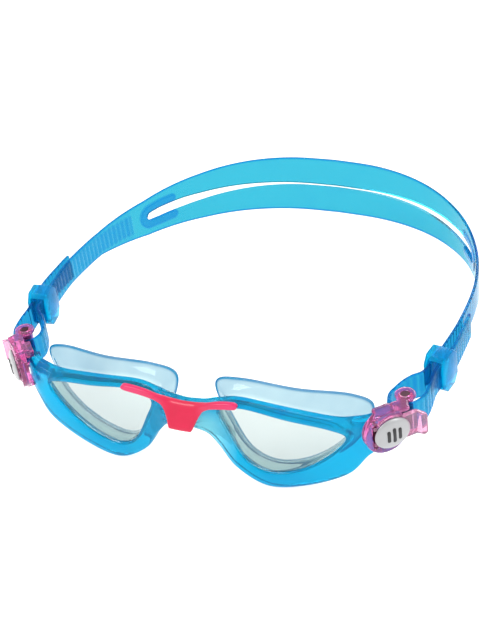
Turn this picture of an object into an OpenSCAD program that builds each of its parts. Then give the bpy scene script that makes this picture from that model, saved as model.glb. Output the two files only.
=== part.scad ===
// Swim goggles: a soft wraparound frame with two clear lenses, a clear face
// seal, a slip-on bridge cover, a one-piece split head strap and a
// quick-release buckle on each side. Left and right are the wearer's.
// X runs to the wearer's left, Y from the lenses to the back of the head, Z up.
// The origin is the middle of the footprint, on the surface it stands on.

/* [Lenses] */
// Distance between the two lens openings at the nose
aperture_gap = 25.6; // [22:0.2:32]
// Width of each lens opening
aperture_w = 44.8; // [38:0.2:54]
// Height of each lens opening
aperture_h = 25.1; // [21:0.1:30]
// Thickness of each lens
lens_t = 1.8; // [1.4:0.1:2.4]
// How far the lens edge reaches into its rebate
lens_bite = 1.2; // [0.8:0.1:1.6]

/* [Frame] */
// Radius of the frame's wrap round the face
wrap_r = 328; // [260:1:420]
// Lean of the front, sideways run for each unit of height
lean = 0.1; // [0:0.01:0.15]
// Depth of the frame from front to back
frame_t = 5; // [4.6:0.1:6.5]
// Thickness of the lip in front of the lens
lip_t = 1.3; // [1:0.1:1.8]
// Width of the rim, as a share of its drawn width
rim_share = 1; // [0.85:0.05:1.2]
// Thickness of the bridge between the rims
bridge_t = 2.6; // [2:0.1:3.4]

/* [Face seal] */
// Depth of the seal behind the frame's front
seal_depth = 12.2; // [11:0.1:15]
// Wall of the seal's flange
seal_t = 0.9; // [0.7:0.1:1.2]

/* [Bridge cover] */
// Thickness of the cover
cover_t = 1.8; // [1.4:0.1:2.4]
// Height of the cover at the nose
cover_h = 10.1; // [9:0.1:11]
// Half width of its lower edge
cover_foot = 4.3; // [3.5:0.1:5.5]

/* [Strap] */
// How far the strap's loop stands out beyond its pins
loop_bulge = 5.9; // [4:0.1:10]
// Length of the loop's round back, from its widest place
loop_back = 89; // [74:0.5:107]
// Thickness of the strap
strap_t = 1.4; // [1.1:0.1:1.8]
// Height of the strap at the buckles
strap_h = 10.4; // [9:0.1:11]
// Height of the strap at the back of the head
strap_back_h = 25.4; // [22:0.2:28]
// Height of the slot at the middle of the back
slot_h = 1.1; // [0.8:0.1:2]
// Height of the slot near its ends
slot_end_h = 4.4; // [3:0.1:5]
// Distance between the two layers of the strap in the keeper
layer_gap = 2; // [1.4:0.1:2.4]
// Length of the free tail behind the keeper
tail_l = 21; // [16:0.5:24]

/* [Keeper] */
// Length of each keeper along the strap
keeper_l = 10.8; // [9:0.2:12]
// Wall of each keeper
keeper_wall = 1.2; // [1:0.1:1.6]
// Clearance between a keeper and the strap
keeper_gap = 0.35; // [0.3:0.05:0.5]

/* [Buckle] */
// Radius of the strap pin
strap_pin_r = 1.6; // [1.3:0.1:1.8]
// Outer radius of the strap roller
roller_r = 2.6; // [2.4:0.1:3]
// Radius of the lever's hinge pin
hinge_pin_r = 0.6; // [0.5:0.05:0.65]
// Length of the oval cap
cap_l = 13.4; // [12.4:0.2:13.8]
// Height of the oval cap
cap_h = 11.9; // [11:0.1:12.4]
// Thickness of the buckle's top and bottom cheeks
cheek_t = 1.4; // [1.1:0.1:1.8]

/* [Fits] */
// Radial clearance of the moving pins
running_gap = 0.06; // [0.03:0.01:0.1]
// Clearance between pieces that are pushed together
seat_gap = 0.1; // [0.05:0.01:0.15]
// Clearance between pieces that pass each other
free_gap = 0.3; // [0.2:0.05:0.5]

/* [Hidden] */

// Colours
blue = [0.0, 0.63, 0.88, 0.85];
pale = [0.72, 0.88, 0.9, 0.6];
clear = [0.86, 0.9, 0.9, 0.4];
pink = [0.95, 0.2, 0.42];
rose = [0.86, 0.35, 0.66, 0.8];
silver = [0.8, 0.8, 0.8];
steel = [0.55, 0.56, 0.58];

// ---- Outlines in the front view ----

// Lens opening: places as shares of its width and height, from the nose corner
aperture_shares = [[0.01, 0.9], [0.2, 1], [0.55, 0.89], [0.87, 0.8], [1, 0.68],
    [0.86, 0.37], [0.63, 0.1], [0.38, 0], [0.2, 0.16], [0.07, 0.58]];
// How far the rim reaches out of the opening at each of those places
rim_reach = [[-3.6, 2.4], [-1.5, 2.5], [0.3, 2.8], [2, 3], [8, 1],
    [6.5, -7.4], [2.5, -6.6], [-0.5, -6.1], [-4.2, -4.4], [-4.4, -2.8]];
// How far the seal's flange reaches out of the opening at each of those places
flange_reach = [[-5.6, 3.6], [-4, 3.8], [0, 4.8], [3.6, 6], [4.6, 3.6],
    [3.6, -3.6], [1.6, -4.2], [-0.6, -3.8], [-3.6, -3], [-4.6, -1.8]];
aperture_low = -15.8;
outline_steps = 6;

function aperture_point(s) =
    [aperture_gap / 2 + aperture_w * s[0], aperture_low + aperture_h * s[1]];
aperture_marks = [for (s = aperture_shares) aperture_point(s)];
rim_marks = [for (i = [0 : len(aperture_marks) - 1]) aperture_marks[i] + rim_share * rim_reach[i]];
flange_marks = [for (i = [0 : len(aperture_marks) - 1]) aperture_marks[i] + flange_reach[i]];

// A smooth curve through marks b and c, at share t of the way from b to c
function between(a, b, c, d, t) =
    0.5 * (2 * b + (c - a) * t + (2 * a - 5 * b + 4 * c - d) * t * t
    + (3 * b - a - 3 * c + d) * t * t * t);
function closed_curve(marks, steps) = [for (i = [0 : len(marks) - 1], k = [0 : steps - 1])
    let (n = len(marks))
    between(marks[(i + n - 1) % n], marks[i], marks[(i + 1) % n], marks[(i + 2) % n], k / steps)];
function open_curve(marks, steps) = concat([for (i = [0 : len(marks) - 2], k = [0 : steps - 1])
    let (n = len(marks))
    between(marks[max(i - 1, 0)], marks[i], marks[i + 1], marks[min(i + 2, n - 1)], k / steps)],
    [marks[len(marks) - 1]]);

aperture = closed_curve(aperture_marks, outline_steps);
rim = closed_curve(rim_marks, outline_steps);
flange = closed_curve(flange_marks, outline_steps);

// A place that lies the given distance from a towards b
function toward(a, b, distance) = a + (b - a) * distance / norm(b - a);

// ---- The wrapped front ----

front_y = 2;
function wrap_y(x, z) = front_y + wrap_r - sqrt(wrap_r * wrap_r - x * x) + lean * z;
// A place of the front view, laid on the wrapped front at a depth behind it
function wrapped(p, depth) = [p[0], wrap_y(p[0], p[1]) + depth, p[1]];

// ---- Meshes swept from sections ----

function ring_faces(rows, cols, closed) = [for (i = [0 : rows - (closed ? 1 : 2)], k = [0 : cols - 1])
    let (j = (i + 1) % rows, m = (k + 1) % cols, a = i * cols + k, b = i * cols + m,
        c = j * cols + m, d = j * cols + k)
    each [[a, c, b], [a, d, c]]];
function flat(rows) = [for (row = rows, p = row) p];

// A closed ring of sections
module swept_ring(sections) {
    polyhedron(flat(sections),
        [for (f = ring_faces(len(sections), len(sections[0]), true)) [f[2], f[1], f[0]]]);
}

// A run of sections with a flat end at each side
module swept_run(sections) {
    cols = len(sections[0]);
    last = (len(sections) - 1) * cols;
    polyhedron(flat(sections), concat(ring_faces(len(sections), cols, false),
        [[for (k = [0 : cols - 1]) k]], [[for (k = [cols - 1 : -1 : 0]) last + k]]));
}

// The piece and its mirror image across the middle
module both_sides() {
    children();
    mirror([1, 0, 0]) children();
}

module on_side(side) {
    if (side == "left") children();
    else mirror([1, 0, 0]) children();
}

// ---- Bridge of the nose ----

// The cover's front leans back from its foot to its top, and joins the wrapped
// front along the brows
bridge_foot_y = -3;
bridge_slope = 0.59;
cover_top = 8.8;
cover_low = cover_top - cover_h + 1.3;
slope_stretch = norm([1, bridge_slope]);
brow_depth = -cover_t - seat_gap;
join_start = cover_foot + 0.3;
join_end = join_start + 5;
join_steps = 16;
join_xs = [for (k = [0 : join_steps]) join_start + (join_end - join_start) * k / join_steps];
function share_of(x, from, to) = max(0, min(1, (x - from) / (to - from)));
function cover_front(x, z) = let (s = share_of(abs(x), join_start, join_end))
    (1 - s) * (bridge_foot_y + bridge_slope * z) + s * (wrap_y(x, z) + brow_depth);
function cover_back(x, z) = let (s = share_of(abs(x), join_start, join_end))
    cover_front(x, z) + cover_t * ((1 - s) * slope_stretch + s);
function bridge_front(x, z) = cover_back(x, z) + seat_gap;
function bridge_back(x, z) = bridge_front(x, z) + bridge_t * slope_stretch;

// A section at x from its low edge to its high edge, with a depth behind its front
function section_at(x, low, high, low_front, high_front, depth) =
    [[x, low_front, low], [x, low_front + depth, low], [x, high_front + depth, high], [x, high_front, high]];
// Marks of x, low edge and high edge, from the right end through the middle to the
// left end, at the stations xs along edges that bend at the given places
function marks_at(xs, lows, highs) = [for (i = [1 - len(xs) : len(xs) - 1])
    let (x = xs[abs(i)]) [x * sign(i), lookup(x, lows), lookup(x, highs)]];

// ---- Strap route, seen from above ----

// Places of the buckle: the middle of the cap's face, and its turn from straight ahead
cap_x = aperture_gap / 2 + aperture_w + 16.6;
cap_place = [cap_x, wrap_y(cap_x, 0) - 0.5];
buckle_turn = 48;
buckle_z = 3.8;
strap_pin_z = 6.2;
pin_u = 9.4;
pin_v = 8.2;
pin_place = cap_place + pin_u * [cos(buckle_turn), sin(buckle_turn)]
    + pin_v * [-sin(buckle_turn), cos(buckle_turn)];
loop_half_w = pin_place[0] + loop_bulge;
widest_y = pin_place[1] + 45.5;

layer_step = strap_t + layer_gap;
// The straight run through the keeper, on the layer next to the head
run_start = pin_place + [loop_bulge - 3.5, 14.2];
run_end = pin_place + [loop_bulge - 1, 31];
run_l = norm(run_end - run_start);
run_dir = (run_end - run_start) / run_l;
run_out = [run_dir[1], -run_dir[0]];
tail_start = run_start + layer_step * run_out;
keeper_mid = run_start + run_l / 2 * run_dir;
tail_end = keeper_mid + (keeper_l / 2 + tail_l) * run_dir + (strap_t - 0.9) * run_out;

// The loop's back, squarer than an ellipse
loop_square = 2.35;
function back_arc(a) = [loop_half_w * pow(max(0, cos(a)), 2 / loop_square),
    widest_y + loop_back * pow(sin(a), 2 / loop_square)];
// The strap round the roller, from its outer side to the side next to the head
loop_marks = [[6, 8], [5.8, 3.6], [4.7, 0.1], [2.5, -2.8], [-0.3, -4.4], [-3, -4.3], [-4.9, -2.8],
    [-5.6, -0.6], [-5.8, 1.3], [-5.1, 4], [-3.6, 7.3], [-1.3, 10.5]];

// From the tail's end round the roller and back along the head to the middle
strap_marks = concat([tail_end],
    [for (share = [1, 0.5, 0]) tail_start + share * run_l * run_dir],
    [for (m = loop_marks) pin_place + m],
    [for (share = [0, 0.5, 1]) run_start + share * run_l * run_dir],
    [for (a = [0 : 9 : 90]) back_arc(a)]);
strap_half = open_curve(strap_marks, 5);
half_last = len(strap_half) - 1;
strap_route = concat(strap_half,
    [for (i = [half_last - 1 : -1 : 0]) [-strap_half[i][0], strap_half[i][1]]]);
route_last = len(strap_route) - 1;

back_mid_y = widest_y + loop_back;
// Height of the strap's middle: marks up to the widest place, then shares of the back
strap_z_marks = concat([for (m = [[-6, 0], [4, 0.05], [14.2, 1.7], [31, 2.2], [45.5, 2.4]])
        [pin_place[1] + m[0], strap_pin_z + m[1]]],
    [for (m = [[0.25, 1.6], [0.55, -1], [0.8, -0.8], [1, 0.3]])
        [widest_y + m[0] * loop_back, strap_pin_z + m[1]]]);
function strap_z(y) = lookup(y, strap_z_marks);
fan_start_y = widest_y + 0.25 * loop_back;
function strap_half_h(y) = (strap_h + (strap_back_h - strap_h) * share_of(y, fan_start_y, back_mid_y)) / 2;
slot_y = widest_y + 0.55 * loop_back;
function slot_half(y) = let (s = (y - slot_y) / (back_mid_y - slot_y))
    lookup(s, [[0, 0.38 * slot_end_h], [0.15, 0.5 * slot_end_h], [0.4, 0.5 * slot_end_h],
        [0.75, 0.25 * (slot_end_h + slot_h)], [1, 0.5 * slot_h]]);

function route_dir(i) = let (a = strap_route[max(i - 1, 0)], b = strap_route[min(i + 1, route_last)])
    (b - a) / norm(b - a);
function strap_section(i) = let (p = strap_route[i], d = route_dir(i),
        side = strap_t / 2 * [d[1], -d[0]], z = strap_z(p[1]), h = strap_half_h(p[1]),
        g = slot_half(p[1]), levels = [z - h, z - g, z + g, z + h])
    concat([for (k = [0 : 3]) [p[0] + side[0], p[1] + side[1], levels[k]]],
        [for (k = [3 : -1 : 0]) [p[0] - side[0], p[1] - side[1], levels[k]]]);
slot_rows = [for (i = [0 : route_last]) if (strap_route[i][1] > slot_y) i];
slot_first = slot_rows[0];
slot_last = slot_rows[len(slot_rows) - 1];
function quad(a, b, c, d) = [[a, b, c], [a, c, d]];
function strap_faces() = let (last = route_last * 8) concat(
    [for (i = [0 : route_last - 1], k = [0 : 7])
        if (!((k == 1 || k == 5) && i >= slot_first && i < slot_last))
            let (a = i * 8 + k, b = i * 8 + (k + 1) % 8) each quad(a, b, b + 8, a + 8)],
    [for (i = [slot_first : slot_last - 1]) let (r = i * 8) each concat(
        quad(r + 1, r + 6, r + 14, r + 9), quad(r + 5, r + 2, r + 10, r + 13))],
    let (f = slot_first * 8, l = slot_last * 8) concat(
        quad(f + 1, f + 2, f + 5, f + 6), quad(l + 6, l + 5, l + 2, l + 1)),
    [for (k = [0 : 2]) each quad(k, 7 - k, 6 - k, k + 1)],
    [for (k = [0 : 2]) each quad(last + k, last + k + 1, last + 6 - k, last + 7 - k)]);

// ---- Standing place ----

foremost_y = cover_front(0, cover_low);
footprint_mid_y = (foremost_y + back_mid_y + strap_t / 2) / 2;
lowest_z = min([for (p = rim) p[1]]);
module stand() {
    translate([0, -footprint_mid_y, -lowest_z]) children();
}

// ---- Front ----

// Rim of one eye: a lip in front of the lens and a rebate behind it
function rim_section(i) = let (a = aperture[i], o = rim[i], w = norm(o - a),
        r = toward(a, o, lens_bite + seat_gap))
    [wrapped(a, 0.7), wrapped(toward(a, o, 0.9), 0), wrapped(toward(a, o, 0.72 * w), 0.1),
        wrapped(toward(a, o, 0.93 * w), 0.6), wrapped(o, 1.8), wrapped(o, frame_t - 0.6),
        wrapped(toward(a, o, w - 0.6), frame_t), wrapped(r, frame_t), wrapped(r, lip_t),
        wrapped(a, lip_t)];

// Places of the lug: x, y of its middle, turn, thickness, low and high edge
lug_z = buckle_z;
tongue_v = 7.5;
tongue_t = 3;
tongue_low = lug_z - 6.5;
tongue_high = lug_z + 4.6;
function buckle_point(u, v) = cap_place + u * [cos(buckle_turn), sin(buckle_turn)]
    + v * [-sin(buckle_turn), cos(buckle_turn)];
function outer_edge(share) = let (x = aperture_gap / 2 + aperture_w * share)
    [x, wrap_y(x, 0) + frame_t / 2 + 0.1];
lug_slices = [
    [outer_edge(1.05), 10, frame_t - 0.4, -13.6, 7.6],
    [outer_edge(1.08), 13, frame_t - 0.6, -12.4, 8],
    [outer_edge(1.11), 20, frame_t - 0.8, -10.2, 8.2],
    [buckle_point(-6, tongue_v + 0.5), 34, tongue_t + 0.9, -5, 8],
    [buckle_point(-3.8, tongue_v), buckle_turn, tongue_t, tongue_low, tongue_high],
    [buckle_point(3, tongue_v), buckle_turn, tongue_t, tongue_low, tongue_high]];

// An upright section across the lug
function lug_section(s) = let (across = s[2] / 2 * [-sin(s[1]), cos(s[1])], front = s[0] - across,
        back = s[0] + across)
    [[front[0], front[1], s[3]], [back[0], back[1], s[3]], [back[0], back[1], s[4]],
        [front[0], front[1], s[4]]];

// Edges of the bridge, as x and z
bridge_lows = [[0, 0.5], [3.5, 0.4], [7.5, -0.4], [10.9, -1.2]];
bridge_highs = [[0, 8.3], [3.5, 8.5], [7.5, 8.9], [10.9, 8.6]];
bridge_sections = [for (m = marks_at(concat([0], join_xs, [10.9]), bridge_lows, bridge_highs))
    section_at(m[0], m[1], m[2], bridge_front(m[0], m[1]), bridge_front(m[0], m[2]),
        bridge_t * slope_stretch)];

module front_frame() {
    color(blue) stand() {
        both_sides() {
            swept_ring([for (i = [0 : len(aperture) - 1]) rim_section(i)]);
            swept_run([for (s = lug_slices) lug_section(s)]);
        }
        swept_run(bridge_sections);
    }
}

// Lens: a wrapped plate that fills the rebate behind the lip
lens_front = lip_t + seat_gap / 2;
lens_back = lens_front + lens_t;
lens_mid = [aperture_gap / 2 + 0.45 * aperture_w, aperture_low + 0.55 * aperture_h];
lens_rings = [0.04, 0.4, 0.75, 1];
function lens_ring(share, depth) = [for (i = [0 : len(aperture) - 1])
    let (edge = toward(aperture[i], rim[i], lens_bite))
    wrapped(lens_mid + share * (edge - lens_mid), depth)];

module lens(side) {
    color(clear) stand() on_side(side) swept_run(concat(
        [for (k = [0 : 3]) lens_ring(lens_rings[k], lens_front)],
        [for (k = [3 : -1 : 0]) lens_ring(lens_rings[k], lens_back)]));
}

// Seal of one eye: a tube in the rebate that flares into a flange for the face
seal_front = lens_back + seat_gap / 2;
function seal_section(i) = let (a = aperture[i], o = rim[i], f = flange[i],
        t = toward(a, o, lens_bite), neck = toward(a, f, lens_bite - 0.2))
    [wrapped(a, seal_front), wrapped(t, seal_front), wrapped(t, frame_t - seat_gap),
        wrapped(neck, frame_t + 1), wrapped(neck, seal_depth - 4),
        wrapped(toward(a, f, 0.6 * norm(f - a)), seal_depth - 1.4 - seal_t / 2),
        wrapped(f, seal_depth - seal_t), wrapped(f, seal_depth),
        wrapped(toward(a, f, 0.55 * norm(f - a)), seal_depth - 0.6),
        wrapped(a, seal_depth - 3.2), wrapped(a, frame_t + 1)];

// Edges of the nose saddle, as x and z
saddle_lows = [[0, -1], [3, -1.4], [6, -2.8], [9, -5.2], [12.6, -8], [14.6, -10.3], [16.4, -12.4]];
saddle_highs = [[0, 7.8], [3, 7.9], [6, 8.2], [9, 8.4], [12.6, 6.5], [14.6, 1.6], [16.4, -3.2]];
saddle_xs = concat([0], join_xs, [12.6, 14.6, 16.4]);
saddle_t = 1.5;
function saddle_front(x, z) = let (s = share_of(abs(x), join_start, join_end))
    (1 - s) * (bridge_back(x, z) + seat_gap) + s * (wrap_y(x, z) + frame_t + seat_gap);
saddle_sections = [for (m = marks_at(saddle_xs, saddle_lows, saddle_highs))
    section_at(m[0], m[1], m[2], saddle_front(m[0], m[1]), saddle_front(m[0], m[2]), saddle_t)];

module face_seal() {
    color(pale) stand() {
        both_sides() swept_ring([for (i = [0 : len(aperture) - 1]) seal_section(i)]);
        swept_run(saddle_sections);
    }
}

// Cover over the nose: a shield in the middle and an arm along each brow.
// Its edges, as x and z
cover_lows = [[0, cover_low], [cover_foot, cover_low + 0.1], [cover_foot + 1.6, 3.8],
    [cover_foot + 3.4, 6.9], [10.4, 8.4], [14, 9], [18.4, 9.4], [22.4, 9.6], [23.6, 10], [24, 10.6]];
cover_highs = [[0, cover_top], [cover_foot, 9], [cover_foot + 1.6, 9.3], [cover_foot + 3.4, 9.9],
    [10.4, 10.8], [14, 11.7], [18.4, 12.2], [22.4, 12.2], [23.6, 11.8], [24, 11.2]];
cover_xs = concat([0, cover_foot], join_xs, [14, 18.4, 22.4, 23.6, 24]);
cover_sections = [for (m = marks_at(cover_xs, cover_lows, cover_highs)) let (x = m[0])
    section_at(x, m[1], m[2], cover_front(x, m[1]), cover_front(x, m[2]),
        cover_back(x, 0) - cover_front(x, 0))];

module bridge_cover() {
    color(pink) stand() swept_run(cover_sections);
}

// ---- Strap and keepers ----

module strap() {
    color(blue) stand() polyhedron([for (i = [0 : route_last]) each strap_section(i)], strap_faces());
}

// Keeper: a sleeve round both strap layers, its corners cut back
keeper_in_t = 2 * strap_t + layer_gap + 2 * keeper_gap;
keeper_in_h = strap_h + 2 * keeper_gap;
keeper_out_h = keeper_in_h + 2 * keeper_wall + 1.4;
keeper_corner = 3.2;
keeper_cut = 2.6;

module keeper_outline() {
    l = keeper_l / 2;
    h = keeper_out_h / 2;
    polygon([[-l, -h + keeper_corner], [-l + keeper_cut, -h], [l - keeper_cut, -h],
        [l, -h + keeper_corner], [l, h - keeper_corner], [l - keeper_cut, h],
        [-l + keeper_cut, h], [-l, h - keeper_corner]]);
}

module strap_keeper(side) {
    mid = keeper_mid + layer_step / 2 * run_out;
    rise = atan((strap_z(run_end[1]) - strap_z(run_start[1])) / run_l);
    color(blue) stand() on_side(side)
        translate([mid[0], mid[1], strap_z(mid[1])])
        rotate([0, 0, atan2(run_dir[1], run_dir[0])]) rotate([0, -rise, 0])
        difference() {
            translate([0, keeper_in_t / 2 + keeper_wall, 0]) rotate([90, 0, 0])
                linear_extrude(keeper_in_t + 2 * keeper_wall) keeper_outline();
            cube([keeper_l + 2, keeper_in_t, keeper_in_h], center = true);
        }
}

// ---- Buckle: u runs back along it, v inwards from the cap's face ----

module at_buckle(side) {
    stand() on_side(side) translate([cap_place[0], cap_place[1], buckle_z])
        rotate([0, 0, buckle_turn]) children();
}

// A flat shape of u and z, from depth v0 to depth v1
module slab(v0, v1) {
    translate([0, v1, 0]) rotate([90, 0, 0]) linear_extrude(v1 - v0) children();
}

function oval(ru, rz, mid_u, mid_z) =
    [for (a = [0 : 7.5 : 352.5]) [mid_u + ru * cos(a), mid_z + rz * sin(a)]];

// Middle of the cap, and middle of the strap pin, above the lug's middle
cap_z = 1.2;
pin_z = strap_pin_z - buckle_z;
lever_u = 0;
bezel_u = -1.2;
cheek_low = strap_h / 2 + free_gap;
cheek_high = cheek_low + cheek_t;
eye_r = strap_pin_r + 2;
hinge_u = -5.6;
hinge_v = 2.7;
barrel_r = hinge_pin_r + 0.55;
plate_top = 1.3;
plate_low = 3.2;
floor_v = plate_low + 0.25;
back_v = 5.2;
cap_rise = 1.3;
tongue_top_z = tongue_high - lug_z;
tongue_low_z = tongue_low - lug_z;
clamp_start_u = -3.3;
clamp_end_u = 3;
plate_end_u = 4.6;
hinge_half_l = 5.4;
knuckle_in = 2.4;

// The upper cheek: over the bezel, and back to the eye that holds the strap pin
upper_cheek = [[-5, 3.2], [-3.6, 2.2], [5.6, 1], [7, 1.2], [7.6, 3], [8.4, 4.8], [6.4, 9.4],
    [5.2, 6.6], [-4.6, 6.6]];
// The lower cheek: behind the lever and past the end of the lug's tongue
lower_cheek = [[0.5, 3.8], [4.8, 3.9], [9.4, 4.7], [11.6, 5.6], [7, 10.6], [3.8, 6.2], [3, 5.1],
    [0.5, 5.1]];
module cheek(outline) {
    linear_extrude(cheek_t) {
        polygon(outline);
        translate([pin_u, pin_v]) circle(eye_r, $fn = 40);
    }
}

clamp_t = 1.3;
module clamp(z, height) {
    translate([clamp_start_u, back_v - 1.6, z]) cube([clamp_end_u - clamp_start_u, 5, height]);
}

module buckle_body(side) {
    color(rose) at_buckle(side) difference() {
        union() {
            difference() {
                slab(plate_top + 0.5, back_v) polygon(oval(8.3, 8.1, bezel_u, cap_z));
                translate([plate_end_u, -1, -10]) cube([12, back_v + 2, 9.9 + pin_z + cheek_low]);
            }
            translate([0, 0, pin_z + cheek_low]) cheek(upper_cheek);
            translate([0, 0, pin_z - cheek_high]) cheek(lower_cheek);
            clamp(tongue_top_z + seat_gap, pin_z + cheek_low - tongue_top_z);
            clamp(tongue_low_z - seat_gap - clamp_t, clamp_t);
        }
        slab(-1, floor_v) polygon(oval(cap_l / 2 + 0.35, cap_h / 2 + 0.5, lever_u, cap_z));
        translate([hinge_u, hinge_v, cap_z - hinge_half_l + 1])
            cylinder(h = 2 * hinge_half_l - 2, r = barrel_r + free_gap, $fn = 40);
        translate([hinge_u, hinge_v, cap_z - hinge_half_l - 0.05])
            cylinder(h = 2 * hinge_half_l + 0.1, r = hinge_pin_r + 0.02, $fn = 32);
        translate([pin_u, pin_v, pin_z - cheek_high - 1])
            cylinder(h = 2 * cheek_high + 2, r = strap_pin_r + 0.02, $fn = 40);
    }
}

// Lever: an oval plate that hinges at its front, with a pawl and a finger tab
module lever(side) {
    color(rose) at_buckle(side) difference() {
        union() {
            intersection() {
                slab(plate_top, plate_low) polygon(oval(cap_l / 2, cap_h / 2 + 0.1, lever_u, cap_z));
                translate([hinge_u, 0, -10]) cube([20, 4, 20]);
            }
            slab(plate_top, plate_low) translate([5.4, cap_z - 4.6]) square([4.8, 9.2]);
            slab(plate_low - 0.1, plate_low + 0.35) translate([8.7, cap_z - 4.2]) square([1.1, 8.4]);
            hull() {
                slab(plate_top, plate_low - 0.3) translate([9.6, cap_z - 4.6]) square([0.6, 9.2]);
                translate([11.4, 0.5, cap_z]) for (z = [-3.2, 3.2])
                    translate([0, 0, z]) rotate([90, 0, 0]) cylinder(h = 1.2, r = 1.2, $fn = 24);
            }
            for (z = [knuckle_in, -hinge_half_l + 1.3])
                translate([hinge_u, hinge_v, cap_z + z])
                    cylinder(h = hinge_half_l - 1.3 - knuckle_in, r = barrel_r, $fn = 40);
        }
        translate([hinge_u, hinge_v, cap_z - 10])
            cylinder(h = 20, r = hinge_pin_r + running_gap, $fn = 32);
        translate([hinge_u - 2, hinge_v - barrel_r, cap_z - knuckle_in])
            cube([4.2, 3, 2 * knuckle_in]);
    }
}

// Cap: an oval lid with a rounded edge, set on the lever
module lever_cap(side) {
    color(silver) at_buckle(side) {
        slab(0.55, cap_rise - seat_gap / 2) polygon(oval(cap_l / 2, cap_h / 2, lever_u, cap_z));
        slab(0.2, 0.6) polygon(oval(cap_l / 2 - 0.8, cap_h / 2 - 0.8, lever_u, cap_z));
        slab(0, 0.3) polygon(oval(cap_l / 2 - 2, cap_h / 2 - 2, lever_u, cap_z));
    }
}

module lever_pin(side) {
    color(steel) at_buckle(side) translate([hinge_u, hinge_v, cap_z - hinge_half_l])
        cylinder(h = 2 * hinge_half_l, r = hinge_pin_r, $fn = 32);
}

// Torsion spring: a close-wound coil on the hinge pin with two legs
wire_r = 0.16;
coil_in_r = hinge_pin_r + running_gap;
coil_out_r = coil_in_r + 2 * wire_r;
coil_mid_r = coil_out_r - wire_r;
// Where the rear leg lies on the pocket's floor
leg_v = floor_v - hinge_v - wire_r - 0.05;
coil_turns = 11;
coil_l = coil_turns * 2 * wire_r;

module lever_spring(side) {
    outside = [for (k = [0 : coil_turns - 1]) each [[coil_out_r - wire_r / 2, (2 * k + 0.3) * wire_r],
        [coil_out_r, (2 * k + 1) * wire_r], [coil_out_r - wire_r / 2, (2 * k + 1.7) * wire_r]]];
    color(steel) at_buckle(side) translate([hinge_u, hinge_v, cap_z - coil_l / 2]) {
        rotate_extrude($fn = 32)
            polygon(concat([[coil_in_r, 0.3 * wire_r]], outside, [[coil_in_r, coil_l - 0.3 * wire_r]]));
        translate([0, -coil_mid_r, wire_r]) rotate([0, 90, 0]) cylinder(h = 1.8, r = wire_r, $fn = 16);
        translate([sqrt(coil_mid_r * coil_mid_r - leg_v * leg_v), leg_v, coil_l - wire_r])
            rotate([0, 90, 0]) cylinder(h = 1.4, r = wire_r, $fn = 16);
    }
}

module strap_pin(side) {
    color(steel) at_buckle(side) translate([pin_u, pin_v, pin_z - cheek_high + 0.3])
        cylinder(h = 2 * cheek_high - 0.6, r = strap_pin_r, $fn = 40);
}

module strap_roller(side) {
    half_l = cheek_low - free_gap / 2;
    color(rose) at_buckle(side) translate([pin_u, pin_v, pin_z - half_l]) difference() {
        cylinder(h = 2 * half_l, r = roller_r, $fn = 40);
        translate([0, 0, -1]) cylinder(h = 2 * half_l + 2, r = strap_pin_r + running_gap, $fn = 40);
    }
}

front_frame();
face_seal();
lens("left");  // lens_left
lens("right");  // lens_right
bridge_cover();
strap();
buckle_body("left");  // buckle_body_left
buckle_body("right");  // buckle_body_right
lever("left");  // lever_left
lever("right");  // lever_right
lever_cap("left");  // lever_cap_left
lever_cap("right");  // lever_cap_right
lever_pin("left");  // lever_pin_left
lever_pin("right");  // lever_pin_right
lever_spring("left");  // lever_spring_left
lever_spring("right");  // lever_spring_right
strap_pin("left");  // strap_pin_left
strap_pin("right");  // strap_pin_right
strap_roller("left");  // strap_roller_left
strap_roller("right");  // strap_roller_right
strap_keeper("left");  // strap_keeper_left
strap_keeper("right");  // strap_keeper_right
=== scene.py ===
import bisect
import math

import bmesh
import bpy
from mathutils import Matrix, Vector


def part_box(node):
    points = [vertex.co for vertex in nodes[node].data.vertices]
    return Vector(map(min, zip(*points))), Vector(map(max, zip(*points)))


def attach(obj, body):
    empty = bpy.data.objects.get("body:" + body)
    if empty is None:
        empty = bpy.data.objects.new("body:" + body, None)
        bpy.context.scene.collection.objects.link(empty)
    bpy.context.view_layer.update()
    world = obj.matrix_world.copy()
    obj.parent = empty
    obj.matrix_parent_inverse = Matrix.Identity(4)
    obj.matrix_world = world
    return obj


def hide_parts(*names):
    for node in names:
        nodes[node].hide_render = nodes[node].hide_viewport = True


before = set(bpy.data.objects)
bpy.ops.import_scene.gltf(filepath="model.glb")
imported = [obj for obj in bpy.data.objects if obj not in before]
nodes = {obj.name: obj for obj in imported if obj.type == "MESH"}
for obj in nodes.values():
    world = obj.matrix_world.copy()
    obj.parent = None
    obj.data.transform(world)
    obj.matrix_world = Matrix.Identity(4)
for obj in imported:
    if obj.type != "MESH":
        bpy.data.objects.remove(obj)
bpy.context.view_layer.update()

# Shapes are worked out in millimetres round the wearer's face: x to the wearer's left,
# y backwards from the front of the lenses, z up from the middle of the eyes.
MM = 0.001
COVER_FOOT_Y = -3.0
RIM_LOWEST_Z = -22.06
FACE_ZERO = Vector((0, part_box("bridge_cover")[0].y / MM - COVER_FOOT_Y,
                    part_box("front_frame")[0].z / MM - RIM_LOWEST_Z))


# ---- Small maths ----

def share(value, start, end):
    """How far value has gone from start to end, from 0 to 1."""
    return max(0.0, min(1.0, (value - start) / (end - start)))


def eased(value, start, end):
    s = share(value, start, end)
    return s * s * (3 - 2 * s)


def mix(a, b, s):
    return a + (b - a) * s


def between(a, b, c, d, t):
    """A point of the smooth curve through marks b and c, a share t of the way from b to c."""
    return tuple(0.5 * (2 * q + (r - p) * t + (2 * p - 5 * q + 4 * r - s) * t * t
                        + (3 * q - p - 3 * r + s) * t ** 3) for p, q, r, s in zip(a, b, c, d))


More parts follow.
